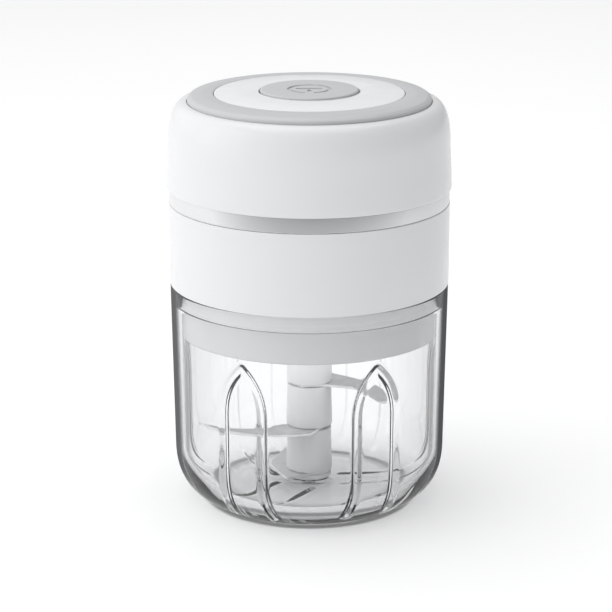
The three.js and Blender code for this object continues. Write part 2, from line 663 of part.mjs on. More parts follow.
function windings() {
  const bundle = tube(MOTOR.shaftR + 0.8, 7.6, ROTOR.low - 2, ROTOR.high + 2, SIDES.medium);
  return cut(bundle, prism(polePlan(0.25), ROTOR.low - GAP, ROTOR.high + GAP, 4));
}

const shaftBore = () => rod(MOTOR.shaftR + SLIP, 50, 110);
const rotorGroup = group(motorGroup);
place(rotorGroup, "motor_shaft", rod(MOTOR.shaftR, 58.6, 101.2), MATERIAL.steel);
const core = cut(prism(polePlan(0), ROTOR.low, ROTOR.high, 4), shaftBore());
place(rotorGroup, "rotor_core", core, MATERIAL.steel);
place(rotorGroup, "rotor_windings", windings(), MATERIAL.copper);
place(rotorGroup, "commutator", tube(MOTOR.shaftR + SLIP, 3.4, ROTOR.high + 2.3, 96.6), MATERIAL.copper);

function driveCoupling() {
  const body = turned([
    [0, COUPLING.low],
    [COUPLING.radius - 0.4, COUPLING.low],
    [COUPLING.radius, COUPLING.low + 0.4],
    [COUPLING.radius, COUPLING.high],
    [COUPLING.neckR, COUPLING.high],
    [COUPLING.neckR, COUPLING.neckTop],
    [0, COUPLING.neckTop],
  ], SIDES.medium);
  const socket = rod(HUB.postR + 0.35, COUPLING.low - 1, COUPLING.socket, 6);
  const bore = rod(MOTOR.shaftR + SLIP, COUPLING.socket - 1, COUPLING.neckTop + 1);
  return cut(body, socket, bore);
}
place(rotorGroup, "drive_coupling", driveCoupling(), MATERIAL.hub);

// ---------------------------------------------------------------- wires

const wireRuns = {
  battery_wire_positive: [MATERIAL.red, [[24, 0, 101.4], [24, 2, 103], [22, 6, 104.2], [18, 8, 104.7]]],
  battery_wire_negative: [MATERIAL.dark, [[-24, 0, 101.4], [-24, 2, 103], [-22, 6, 104.2], [-18, 8, 104.7]]],
  motor_wire_1: [MATERIAL.red, [[8, 3, 101.3], [8, 5, 102.6], [8, 9, 103.8], [8, 12, 104.7]]],
  motor_wire_2: [MATERIAL.dark, [[-8, 3, 101.3], [-8, 5, 102.6], [-8, 9, 103.8], [-8, 12, 104.7]]],
};
for (const [name, [material, run]] of Object.entries(wireRuns))
  place(headGroup, name, wire(run, 0.6, 6), material);

export default assembly;
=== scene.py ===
import math

import bmesh
import bpy
from mathutils import Matrix, Vector
from mathutils.geometry import tessellate_polygon


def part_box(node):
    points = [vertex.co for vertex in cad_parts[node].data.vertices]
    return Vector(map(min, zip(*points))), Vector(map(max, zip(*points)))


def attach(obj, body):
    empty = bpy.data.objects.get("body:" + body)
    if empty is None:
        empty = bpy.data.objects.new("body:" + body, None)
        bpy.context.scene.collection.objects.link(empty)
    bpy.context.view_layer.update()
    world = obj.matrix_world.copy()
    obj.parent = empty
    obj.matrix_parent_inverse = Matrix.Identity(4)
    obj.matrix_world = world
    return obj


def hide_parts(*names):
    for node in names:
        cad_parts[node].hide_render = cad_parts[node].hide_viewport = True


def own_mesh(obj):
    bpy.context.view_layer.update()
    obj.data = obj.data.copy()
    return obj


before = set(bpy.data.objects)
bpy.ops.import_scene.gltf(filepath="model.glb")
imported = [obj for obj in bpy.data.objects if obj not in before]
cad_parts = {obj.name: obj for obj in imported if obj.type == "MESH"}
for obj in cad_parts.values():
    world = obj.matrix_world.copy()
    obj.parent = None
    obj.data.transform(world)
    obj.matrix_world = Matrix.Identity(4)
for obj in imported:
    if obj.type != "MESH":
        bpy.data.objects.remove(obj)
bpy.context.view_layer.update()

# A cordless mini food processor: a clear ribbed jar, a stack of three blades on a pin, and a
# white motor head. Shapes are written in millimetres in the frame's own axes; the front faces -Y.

MM = 0.001
TURN = 2 * math.pi
QUARTER = math.pi / 2
FINE = 192  # facets of a full turn on the large mouldings
SMALL = 64  # and on the small ones

ARCH_COUNT = 6  # arched ribs round the jar's inner wall
ARCH_FIRST = math.radians(240)  # where the first one stands
ARCH_HALF = 6.0  # from an arch's middle to the centreline of its leg
ARCH_SPRING = 34.0  # height at which the legs start to curve in
ARCH_TOP = 49.0  # height of its point
ARCH_WIDTH = 3.4  # of the rib itself
ARCH_HEIGHT = 0.9  # how far the rib stands out of the wall
LOW_ARCH = 0.45  # share of that height on the two flatter arches
FLOOR_RIB = 0.75  # height of the ribs that cross the floor
FLOOR_RIB_STARTS = (7.6, 28.5)  # radius where they begin: those of every other arch reach the boss
WALL_FOOT = 27  # radius where the floor's ribs become the wall's
JAR_FLOOR = 3.5  # height of the floor's upper face
JAR_CORNER = 2.6  # how squarely the jar's lower corner turns, where 2 is a round one

PORT_HEIGHT = 77  # middle of the charging port at the back of the head
SCREW_CIRCLE = 30  # radius of the circle of cover screws
COLLAR = 6.7  # radius of the hub's collars
COLLAR_BORE = 4.5
COIL_FOOT = 108.0  # where the button's spring stands
SEAT_GAP = 0.05  # clearance between a blade and the collar on it

WHITE = (0.92, 0.925, 0.93)
GREY = (0.60, 0.605, 0.615)
GLOW = (1, 1, 1, 1)
MOULDING_IOR = 1.46
COLOUR_A, COLOUR_B, COLOUR_OUT = 6, 7, 2  # the colour sockets of a Mix node

# ---------------------------------------------------------------- materials


class Finish:
    """A Principled material with the textures that vary its colour, roughness and surface."""

    def __init__(self, name, colour, roughness, **sockets):
        self.material = bpy.data.materials.new(name)
        self.material.use_nodes = True
        self.tree = self.material.node_tree
        self.shader = self.tree.nodes["Principled BSDF"]
        self.set("Base Color", (*colour, 1))
        self.set("Roughness", roughness)
        for socket, value in sockets.items():
            self.set(socket.replace("_", " "), value)
        coordinates = self.node("TexCoord")
        self.place = coordinates.outputs["Object"]
        self.outwards = coordinates.outputs["Normal"]
        self.normal = None

    def set(self, socket, value):
        self.shader.inputs[socket].default_value = value

    def node(self, kind, **sockets):
        made = self.tree.nodes.new("ShaderNode" + kind)
        for socket, value in sockets.items():
            made.inputs[socket.replace("_", " ")].default_value = value
        return made

    def link(self, source, target):
        self.tree.links.new(source, target)

    def noise(self, size, detail=3.0, stretch=(1, 1, 1)):
        """Mottling whose features are about size millimetres across, longer along a small stretch."""
        mapping = self.node("Mapping", Scale=stretch)
        self.link(self.place, mapping.inputs["Vector"])
        texture = self.node("TexNoise", Scale=1 / (size * MM), Detail=detail)
        self.link(mapping.outputs["Vector"], texture.inputs["Vector"])
        return texture.outputs[0]

    def cells(self, size):
        """A pattern of rounded cells about size millimetres across."""
        texture = self.node("TexVoronoi", Scale=1 / (size * MM))
        self.link(self.place, texture.inputs["Vector"])
        return texture.outputs["Distance"]

    def ranged(self, source, interpolation="LINEAR", **ends):
        """The source spread between the stated ends of a Map Range node."""
        spread = self.node("MapRange", **ends)
        spread.interpolation_type = interpolation
        self.link(source, spread.inputs["Value"])
        return spread.outputs["Result"]

    def colours(self, source, dark, light, low=0.3, high=0.7):
        """A colour that goes from dark to light as the source goes from low to high."""
        ramp = self.node("ValToRGB")
        first, last = ramp.color_ramp.elements
        first.position, last.position = low, high
        first.color, last.color = (*dark, 1), (*light, 1)
        self.link(source, ramp.inputs["Fac"])
        self.link(ramp.outputs["Color"], self.shader.inputs["Base Color"])
        return self

    def turned_away(self, start, end, interpolation="SMOOTHSTEP"):
        """0 where the surface faces the eye, 1 where it turns away past end."""
        facing = self.node("LayerWeight", Blend=0.5).outputs["Facing"]
        return self.ranged(facing, interpolation, From_Min=start, From_Max=end)

    def upright(self, factor):
        """The factor on steep faces, fading to 0 on level ones."""
        parts = self.node("SeparateXYZ")
        self.link(self.outwards, parts.inputs["Vector"])
        level = self.node("Math")
        level.operation = "ABSOLUTE"
        self.link(parts.outputs["Z"], level.inputs[0])
        steep = self.ranged(level.outputs[0], From_Min=0.2, From_Max=0.6, To_Min=1.0, To_Max=0.0)
        both = self.node("Math")
        both.operation = "MULTIPLY"
        self.link(factor, both.inputs[0])
        self.link(steep, both.inputs[1])
        return both.outputs[0]

    def paint_edge_light_and_shade(self, painted_tone, start, end, interpolation="SMOOTHSTEP", steep_only=False):
        """Blends the base colour, which is linked by now, into a painted tone where the surface turns
        away: painted shade where the tone is darker, a painted sheen where it is lighter.
        """
        factor = self.turned_away(start, end, interpolation)
        if steep_only:
            factor = self.upright(factor)
        mix = self.node("Mix")
        mix.data_type = "RGBA"
        socket = self.shader.inputs["Base Color"]
        self.link(factor, mix.inputs["Factor"])
        self.link(socket.links[0].from_socket, mix.inputs[COLOUR_A])
        mix.inputs[COLOUR_B].default_value = (*painted_tone, 1)
        self.link(mix.outputs[COLOUR_OUT], socket)
        return self

    def outline(self, colour, start, end):
        """Painted shade: a dull dark outline mixed in on steep faces where they turn away from the eye,
        in place of the dark edges that clear plastic shows of its surroundings.
        """
        dull = self.node("BsdfPrincipled", Base_Color=(*colour, 1), Roughness=0.7, Specular_IOR_Level=0.0)
        mix = self.node("MixShader")
        self.link(self.upright(self.turned_away(start, end)), mix.inputs["Fac"])
        self.link(self.shader.outputs["BSDF"], mix.inputs[1])
        self.link(dull.outputs["BSDF"], mix.inputs[2])
        self.link(mix.outputs["Shader"], self.tree.nodes["Material Output"].inputs["Surface"])
        return self

    def polish(self, source, low, high):
        """A roughness that wanders from low to high."""
        rough = self.ranged(source, From_Min=0.3, From_Max=0.7, To_Min=low, To_Max=high)
        self.link(rough, self.shader.inputs["Roughness"])
        return self

    def bump(self, source, depth, strength=1.0):
        """Relief of about depth millimetres, laid over any relief already there."""
        bump = self.node("Bump", Distance=depth * MM, Strength=strength)
        self.link(source, bump.inputs["Height"])
        if self.normal:
            self.link(self.normal, bump.inputs["Normal"])
        self.normal = bump.outputs["Normal"]
        self.link(self.normal, self.shader.inputs["Normal"])
        return self


def moulded(name, light, shade, roughness, grain=0.35, depth=0.004, **sockets):
    """Injection-moulded plastic: slow colour drift, uneven polish and a very fine orange peel."""
    finish = Finish(name, light, roughness, **sockets)
    dark = tuple(c * shade for c in light)
    finish.colours(finish.noise(20), dark, light, 0.2, 0.8)
    finish.polish(finish.noise(7), roughness - 0.04, roughness + 0.05)
    finish.bump(finish.noise(12, 1), depth * 4, 0.2)
    finish.bump(finish.noise(grain), depth, 0.6)
    return finish.material


def white_shell():
    return moulded("white_abs", (0.83, 0.835, 0.845), 0.985, 0.22, IOR=MOULDING_IOR)


def white_plate():
    return moulded("white_plate", WHITE, 0.985, 0.22, IOR=MOULDING_IOR)


def painted_light_cover():
    """Painted light: the plate's white, brighter than the housings' white, with a little glow that lifts
    the cover's skirt where the housing above shades it.
    """
    return moulded("painted_light_cover", WHITE, 0.985, 0.22, IOR=MOULDING_IOR,
                   Emission_Color=GLOW, Emission_Strength=0.07)


def grey_trim():
    return moulded("grey_trim", GREY, 0.96, 0.33, IOR=MOULDING_IOR)


def silver_band():
    """Satin silver lacquer with a painted sheen: its colour is brighter where it is seen askance."""
    finish = Finish("silver_band", (0.5, 0.505, 0.512), 0.34, Metallic=0.3)
    finish.colours(finish.noise(20), (0.38, 0.385, 0.392), (0.4, 0.405, 0.412), 0.2, 0.8)
    # painted sheen: the base colour lightens towards 0.8 as the surface turns away
    finish.paint_edge_light_and_shade((0.8, 0.805, 0.81), 0.0, 0.3, "LINEAR")
    finish.polish(finish.noise(7), 0.3, 0.39)
    finish.bump(finish.noise(0.3), 0.004, 0.6)
    return finish.material


def button_grey():
    return moulded("grey_button", GREY, 0.965, 0.42, depth=0.008, IOR=MOULDING_IOR)


def hub_plastic():
    """The hub's slightly greyer white."""
    return moulded("hub_plastic", (0.76, 0.765, 0.77), 0.97, 0.34)


def clear_plastic():
    """Polished clear plastic with the slow waves of a thick moulding, and painted shade on its steep
    edges.
    """
    finish = Finish("clear_plastic", (1, 1, 1), 0.01, Transmission_Weight=1.0, IOR=1.49)
    drift = finish.noise(18)
    finish.colours(drift, (0.975, 0.982, 0.985), (0.995, 0.998, 1.0))
    # painted shade: steep faces darken as they turn away, a little from 0.12 and strongly from 0.62, and
    # a dark outline is mixed in from 0.66
    finish.paint_edge_light_and_shade((0.8, 0.803, 0.808), 0.12, 0.5, "LINEAR", steep_only=True)
    finish.paint_edge_light_and_shade((0.15, 0.152, 0.155), 0.62, 0.76, steep_only=True)
    finish.outline((0.13, 0.132, 0.135), 0.66, 0.78)
    finish.polish(finish.noise(9), 0.0, 0.035)
    finish.bump(finish.noise(11, 1), 0.03, 0.25)
    return finish.material


def silicone(name, glow):
    """Soft white rubber; glow is its emission, painted light that brightens a piece lying in shade inside
    the jar.
    """
    finish = Finish(name, (0.88, 0.885, 0.89), 0.6, Subsurface_Weight=0.15, Emission_Strength=glow)
    finish.set("Emission Color", GLOW)
    finish.set("Subsurface Radius", (0.002, 0.002, 0.002))
    finish.set("Subsurface Scale", 1.0)
    finish.colours(finish.noise(4), (0.87, 0.875, 0.88), (0.9, 0.905, 0.91))
    finish.polish(finish.noise(2), 0.5, 0.68)
    finish.bump(finish.noise(0.25), 0.01, 0.5)
    return finish.material


def blade_steel():
    """Stainless sheet with a straight brushed grain and a little unevenness in its polish."""
    finish = Finish("blade_steel", (0.78, 0.785, 0.79), 0.3, Metallic=1.0)
    grain = finish.noise(0.16, 4, (0.04, 1, 1))
    finish.colours(finish.noise(3), (0.7, 0.705, 0.715), (0.82, 0.825, 0.83))
    finish.polish(grain, 0.28, 0.38)
    finish.bump(grain, 0.006, 0.5)
    finish.bump(finish.noise(9, 1), 0.05, 0.3)
    return finish.material


def turned_steel():
    """Lathe-turned steel: fine rings round the axis."""
    finish = Finish("turned_steel", (0.7, 0.705, 0.715), 0.25, Metallic=1.0)
    rings = finish.noise(0.2, 3, (0.05, 0.05, 1))
    finish.colours(finish.noise(2), (0.62, 0.625, 0.635), (0.74, 0.745, 0.75))
    finish.polish(rings, 0.28, 0.36)
    finish.bump(rings, 0.006, 0.5)
    return finish.material


def plated_steel():
    """Zinc-plated steel for cans, cores and screws: a faint spangle."""
    finish = Finish("plated_steel", (0.62, 0.64, 0.66), 0.35, Metallic=1.0)
    finish.colours(finish.cells(1.4), (0.55, 0.57, 0.6), (0.68, 0.69, 0.7), 0.1, 0.9)
    finish.polish(finish.noise(1.2), 0.28, 0.46)
    finish.bump(finish.noise(0.3), 0.006, 0.5)
    return finish.material


def dark_plastic():
    return moulded("dark_plastic", (0.035, 0.036, 0.04), 0.8, 0.5, depth=0.01)


def magnet_ferrite():
    """Black sintered magnet, matt and slightly pitted."""
    finish = Finish("ferrite", (0.045, 0.043, 0.042), 0.7)
    finish.colours(finish.noise(1.5), (0.03, 0.029, 0.028), (0.07, 0.068, 0.066))
    finish.polish(finish.noise(0.8), 0.6, 0.85)
    finish.bump(finish.cells(0.4), 0.02, 0.6)
    return finish.material


def circuit_board():
    """Green solder mask over woven glass, with the faint relief of its tracks."""
    finish = Finish("circuit_board", (0.02, 0.2, 0.09), 0.35)
    finish.colours(finish.cells(2.6), (0.012, 0.14, 0.06), (0.03, 0.25, 0.11), 0.2, 0.8)
    finish.polish(finish.noise(1.5), 0.26, 0.42)
    finish.bump(finish.cells(2.6), 0.03, 0.5)
    finish.bump(finish.noise(0.3), 0.01, 0.4)
    return finish.material


def copper():
    """Enamelled copper, drawn out along the windings."""
    finish = Finish("copper", (0.72, 0.33, 0.17), 0.3, Metallic=1.0)
    finish.colours(finish.noise(1.2), (0.55, 0.22, 0.11), (0.8, 0.4, 0.22))
    finish.polish(finish.noise(0.7), 0.22, 0.42)
    finish.bump(finish.noise(0.25, 2, (1, 1, 0.15)), 0.03, 0.6)
    return finish.material


def sintered_bronze():
    """Porous, oil-filled bearing bronze."""
    finish = Finish("sintered_bronze", (0.55, 0.42, 0.2), 0.45, Metallic=1.0)
    finish.colours(finish.noise(0.6), (0.42, 0.3, 0.13), (0.62, 0.48, 0.25))
    finish.polish(finish.noise(0.4), 0.36, 0.6)
    finish.bump(finish.cells(0.25), 0.01, 0.6)
    return finish.material


def cell_wrap():
    """Shrink wrap: a satin blue film with shallow lengthwise wrinkles."""
    finish = Finish("cell_wrap", (0.05, 0.16, 0.42), 0.35)
    finish.colours(finish.noise(7), (0.04, 0.13, 0.36), (0.06, 0.18, 0.46))
    finish.polish(finish.noise(3), 0.28, 0.42)
    finish.bump(finish.noise(2, 2, (1, 1, 0.2)), 0.05, 0.4)
    return finish.material


def wire_sleeve(name, colour):
    return moulded(name, colour, 0.85, 0.45, depth=0.01)


def floor_paint():
    """The studio's white floor, lifted a little so that it meets the white backdrop."""
    finish = Finish("floor_paint", (0.93, 0.93, 0.935), 0.85)
    finish.colours(finish.noise(400, 2), (0.925, 0.926, 0.93), (0.94, 0.94, 0.943))
    finish.polish(finish.noise(120, 2), 0.8, 0.9)
    finish.bump(finish.noise(3, 2), 0.01, 0.1)
    finish.set("Emission Color", GLOW)
    finish.set("Emission Strength", 0.15)
    finish.set("Specular IOR Level", 0.1)
    return finish.material


# ---------------------------------------------------------------- mesh helpers


def polar(radius, angle):
    return radius * math.cos(angle), radius * math.sin(angle)


def mesh_object(name, vertices, faces, crease=35):
    """A new object from vertices in millimetres; edges sharper than crease degrees stay sharp."""
    mesh = bpy.data.meshes.new(name)
    mesh.from_pydata([[c * MM for c in v] for v in vertices], [], faces)
    mesh.update()
    obj = bpy.data.objects.new(name, mesh)
    bpy.context.scene.collection.objects.link(obj)
    shade(obj, crease)
    return obj


def shade(obj, crease=35):
    mesh = obj.data
    mesh.polygons.foreach_set("use_smooth", [True] * len(mesh.polygons))
    mesh.set_sharp_from_angle(angle=math.radians(crease))


def dress(obj, material, body, slot, *nodes):
    """Gives a finished piece its material and its body, and hides the CAD nodes it stands for; slot is
    not used.
    """
    obj.data.materials.clear()
    obj.data.materials.append(material)
    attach(obj, body)
    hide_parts(*nodes)
    return obj


def rounded(corners, steps=4):
    """The corners (radius, height, fillet) with each corner that states a fillet rounded to it."""
    out = []
    for i, corner in enumerate(corners):
        here = Vector(corner[:2])
        if len(corner) == 2:
            out.append(tuple(here))
            continue
        before = Vector(corners[i - 1][:2]) - here
        after = Vector(corners[(i + 1) % len(corners)][:2]) - here
        reach = corner[2] / math.tan(before.angle(after) / 2)
        reach = min(reach, before.length * 0.48, after.length * 0.48)
        start, end = here + before.normalized() * reach, here + after.normalized() * reach
        for step in range(steps + 1):
            t = step / steps
            out.append(tuple(start * (1 - t) ** 2 + here * 2 * t * (1 - t) + end * t * t))
    return out


def bend(r0, z0, r1, z1, power, steps):
    """A corner from level at (r0, z0) to upright at (r1, z1), squarer than an ellipse above power 2."""
    points = []
    for i in range(steps + 1):
        angle = i / steps * QUARTER
        across, up = math.sin(angle) ** (2 / power), math.cos(angle) ** (2 / power)
        points.append((r0 + (r1 - r0) * across, z1 + (z0 - z1) * up))
    return points


def lathe_mesh(profile, sides, shift=None):
    """Vertices and faces of a counter-clockwise profile of (radius, height) turned about Z.
    A profile off the axis closes on itself. shift(i, turn) gives a point's own (radius, height)."""
    vertices, rings = [], []
    for i, (r, z) in enumerate(profile):
        if r < 1e-6:
            rings.append([len(vertices)])
            vertices.append((0, 0, z))
            continue
        rings.append(range(len(vertices), len(vertices) + sides))
        for k in range(sides):
            angle = k / sides * TURN
            pr, pz = shift(i, angle) if shift else (r, z)
            vertices.append((*polar(pr, angle), pz))
    pairs = list(zip(rings, rings[1:]))
    if len(rings[0]) > 1:
        pairs.append((rings[-1], rings[0]))
    faces = []
    for low, high in pairs:
        for k in range(sides):
            n = (k + 1) % sides
            if len(low) == 1:
                faces.append((low[0], high[n], high[k]))
            elif len(high) == 1:
                faces.append((low[k], low[n], high[0]))
            else:
                faces.append((low[k], low[n], high[n], high[k]))
    return vertices, faces


def lathe(name, profile, sides=FINE, crease=35):
    return mesh_object(name, *lathe_mesh(profile, sides), crease)


def prism_mesh(outline, low, high):
    """A straight prism from a counter-clockwise outline of (x, y)."""
    n = len(outline)
    vertices = [(x, y, low) for x, y in outline] + [(x, y, high) for x, y in outline]
    faces = [tuple(reversed(range(n))), tuple(range(n, 2 * n))]
    faces += [(i, (i + 1) % n, n + (i + 1) % n, n + i) for i in range(n)]
    return vertices, faces


def prism(name, outline, low, high):
    return mesh_object(name, *prism_mesh(outline, low, high))


def round_rect(half_x, half_y, radius, steps=5):
    """A rounded rectangle, counter-clockwise."""
    out = []
    for corner, (sx, sy) in enumerate(((1, -1), (1, 1), (-1, 1), (-1, -1))):
        cx, cy = sx * (half_x - radius), sy * (half_y - radius)
        for step in range(steps + 1):
            angle = (corner - 1 + step / steps) * QUARTER
            out.append((cx + radius * math.cos(angle), cy + radius * math.sin(angle)))
    return out


def arc_band(inner, outer, start, end, steps=40):
    """The outline of part of a ring, counter-clockwise."""
    angles = [start + (end - start) * i / steps for i in range(steps + 1)]
    return [polar(outer, a) for a in angles] + [polar(inner, a) for a in reversed(angles)]


def hexagon(radius):
    return [polar(radius, k * TURN / 6) for k in range(6)]


def settle(obj, crease=35):
    """Applies the piece's modifiers to its mesh."""
    settled = obj.evaluated_get(bpy.context.evaluated_depsgraph_get())
    old = obj.data
    obj.data = bpy.data.meshes.new_from_object(settled)
    obj.modifiers.clear()
    bpy.data.meshes.remove(old)
    shade(obj, crease)
    return obj


def carve(obj, *cutters, operation="DIFFERENCE", crease=35):
    """Cuts the cutters out of the piece, or joins them to it, and removes them."""
    for cutter in cutters:
        modifier = obj.modifiers.new("carve", "BOOLEAN")
        modifier.operation = operation
        modifier.solver = "EXACT"
        modifier.object = cutter
    settle(obj, crease)
    for cutter in cutters:
        bpy.data.objects.remove(cutter)
    return obj


def soften(obj, width, segments=3, angle=40):
    modifier = obj.modifiers.new("soften", "BEVEL")
    modifier.width = width * MM
    modifier.segments = segments
    modifier.limit_method = "ANGLE"
    modifier.angle_limit = math.radians(angle)
    return settle(obj)


def turned_to(obj, matrix):
    obj.data.transform(matrix)
    return obj


def shifted(obj, x, y, z=0):
    return turned_to(obj, Matrix.Translation((x * MM, y * MM, z * MM)))


def consistent(obj):
    """Turns every face outwards."""
    mesh = bmesh.new()
    mesh.from_mesh(obj.data)
    bmesh.ops.recalc_face_normals(mesh, faces=mesh.faces)
    mesh.to_mesh(obj.data)
    mesh.free()


def heights(node):
    """The lowest and highest point of a CAD node, in millimetres."""
    low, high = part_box(node)
    return low[2] / MM, high[2] / MM


# ---------------------------------------------------------------- jar


def arch_line():
    """Half of a pointed arch's centreline, from the foot to the point, as (across, height)."""
    points = [(ARCH_HALF, 0), (ARCH_HALF, ARCH_SPRING)]
    shoulder = ARCH_SPRING + 8.5
    steps = 10
    for i in range(1, steps + 1):
        t = i / steps
        across = ARCH_HALF * (1 - t) ** 2 + 2 * ARCH_HALF * t * (1 - t)
        height = ARCH_SPRING * (1 - t) ** 2 + 2 * shoulder * t * (1 - t) + (ARCH_TOP - 1) * t * t
        points.append((across, height))
    return points


ARCH_LINE = arch_line()


def off_arch(across, height):
    """Distance of a point from the arch's centreline."""
    if height < ARCH_SPRING:
        return abs(across - ARCH_HALF)
    best = math.inf
    for (ax, az), (bx, bz) in zip(ARCH_LINE, ARCH_LINE[1:]):
        dx, dz = bx - ax, bz - az
        t = ((across - ax) * dx + (height - az) * dz) / (dx * dx + dz * dz)
        t = max(0.0, min(1.0, t))
        best = min(best, math.hypot(across - ax - t * dx, height - az - t * dz))
    return best


def bead(distance, half_width):
    """The rounded section of a rib: 1 on its line, 0 from half_width outwards."""
    x = distance / half_width
    return (1 - x * x) ** 1.6 if x < 1 else 0.0


def ease(x):
    x = max(0.0, min(1.0, x))
    return x * x * (3 - 2 * x)


def rib_height(r, angle, z):
    """How far the jar's ribs stand proud of its inner face at a point."""
    best = 0.0
    for k in range(ARCH_COUNT):
        turn = angle - ARCH_FIRST - k * TURN / ARCH_COUNT
        across, along = abs(r * math.sin(turn)), r * math.cos(turn)
        if along <= 0 or across > ARCH_HALF + ARCH_WIDTH:
            continue
        foot = ease((along - FLOOR_RIB_STARTS[k % 2]) / 2)
        tall = (LOW_ARCH if k % 3 == 2 else 1.0) * (ARCH_HEIGHT if along > WALL_FOOT else FLOOR_RIB)
        best = max(best, tall * foot * bead(off_arch(across, z), ARCH_WIDTH / 2))
    return best


def between(start, end, steps):
    """The points that divide a straight line into steps, without its ends."""
    (x0, y0), (x1, y1) = start, end
    return [(x0 + (x1 - x0) * i / steps, y0 + (y1 - y0) * i / steps) for i in range(1, steps)]


def jar_glass(material):
    """The clear jar: a thick wall with a squared lower corner, arched ribs inside and the pin's boss."""
    outside = [(0, 0), (10, 0), (18, 0)] + bend(22, 0, 39.2, 17.7, JAR_CORNER, 28)
    outside += between((39.2, 17.7), (40, 64.7), 8)
    rim = rounded([(39.2, 30), (40, 65, 0.5), (38.3, 65, 0.5), (38.3, 60.1, 0.25), (36.9, 60.1, 0.5),
                   (36.7, 30)])[1:-1]
    wall = between((36.9, 59.4), (36.6, 19), 70)
    corner = list(reversed(bend(20.5, JAR_FLOOR, 36.6, 19, JAR_CORNER, 46)))
    floor = between((20.5, JAR_FLOOR), (7.5, JAR_FLOOR), 26)
    boss = rounded([(9, JAR_FLOOR), (7.3, JAR_FLOOR, 0.8), (5.8, 4.3, 0.5), (5.2, 4.8, 0.3),
                    (2.05, 4.8, 0.3), (2.05, 1.6, 0.2), (0, 1.6)])[1:]
    profile = outside + rim + wall + corner + floor + boss
    ribbed = range(len(outside) + len(rim), len(profile) - len(boss))

    def shift(i, angle):
        """The inner face moved out of the wall, at right angles to it, by the ribs' height."""
        r, z = profile[i]
        if i not in ribbed:
            return r, z
        (r0, z0), (r1, z1) = profile[i - 1], profile[i + 1]
        length = math.hypot(r1 - r0, z1 - z0)
        out = rib_height(r, angle, z)
        return r + out * (z1 - z0) / length, z - out * (r1 - r0) / length

    obj = mesh_object("jar_glass", *lathe_mesh(profile, 600, shift), crease=50)
    obj.visible_shadow = False  # light reaches what stands inside, as it does through clear plastic
    return dress(obj, material, "jar", "clear", "jar")


def spindle_pin(material):
    profile = rounded([(0, 1.8), (2, 1.8, 0.2), (2, 29.4, 0.4), (1.4, 30, 0.3), (0, 30)])
    return dress(lathe("pin", profile, SMALL), material, "jar", "steel", "spindle_pin")


# ---------------------------------------------------------------- blade stack


def blade_outlines(node):
    """A blade's outer outline and its bore in plan, from the top face of its CAD solid, in mm."""
    mesh = bmesh.new()
    mesh.from_mesh(node.data)
    bmesh.ops.remove_doubles(mesh, verts=mesh.verts, dist=1e-6)
    rim = [e for e in mesh.edges if sorted(round(f.normal.z) for f in e.link_faces) == [0, 1]]
    following = {}
    for edge in rim:
        face = next(f for f in edge.link_faces if round(f.normal.z) == 1)
        loop = next(l for l in face.loops if l.edge == edge)
        following[loop.vert.index] = loop.link_loop_next.vert.index
    places = {v.index: (v.co.x / MM, v.co.y / MM) for v in mesh.verts}
    mesh.free()
    loops = []
    while following:
        start = next(iter(following))
        loop, at = [], start
        while at in following:
            loop.append(places[at])
            at = following.pop(at)
        loops.append(loop)
    return sorted(loops, key=lambda loop: -max(math.hypot(*p) for p in loop))


def smoothed(loop, steps=4):
    """A closed loop drawn again as a smooth curve through its own points."""
    out = []
    n = len(loop)
    for i in range(n):
        a, b, c, d = (Vector(loop[(i + k) % n]) for k in (-1, 0, 1, 2))
        sharp = (b - a).angle(c - b, 0) > 0.9 or (c - b).angle(d - c, 0) > 0.9
        for step in range(steps):
            t = step / steps
            if sharp:
                out.append(tuple(b.lerp(c, t)))
                continue
            point = 2 * b + (c - a) * t + (2 * a - 5 * b + 4 * c - d) * t * t
            point += (3 * b - a - 3 * c + d) * t * t * t
            out.append(tuple(point / 2))
    return out


def ring_through(loop, width):
    """The loop moved inwards by width(i) at each point, along the mean of its neighbours' normals."""
    out = []
    n = len(loop)
    for i in range(n):
        before, after = Vector(loop[i - 2]), Vector(loop[(i + 2) % n])
        along = (after - before).normalized()
        inward = Vector((-along.y, along.x))
        out.append(tuple(Vector(loop[i]) + inward * width(i)))
    return out


def ring_faces(first, count, rings):
    """The quads between rings of count vertices each, the highest ring first."""
    faces = []
    for ring in range(rings - 1):
        base = first + ring * count
        faces += [(base + i, base + count + i, base + count + (i + 1) % count, base + (i + 1) % count)
                  for i in range(count)]
    return faces


def holed_face(outer, bore, outer_first, bore_first):
    """The triangles of a flat face with a hole; its rings' vertices are numbered from the firsts."""
    loops = [[Vector((x, y, 0)) for x, y in ring] for ring in (outer, bore)]
    numbers = [*range(outer_first, outer_first + len(outer)), *range(bore_first, bore_first + len(bore))]
    return [tuple(numbers[k] for k in face) for face in tessellate_polygon(loops)]


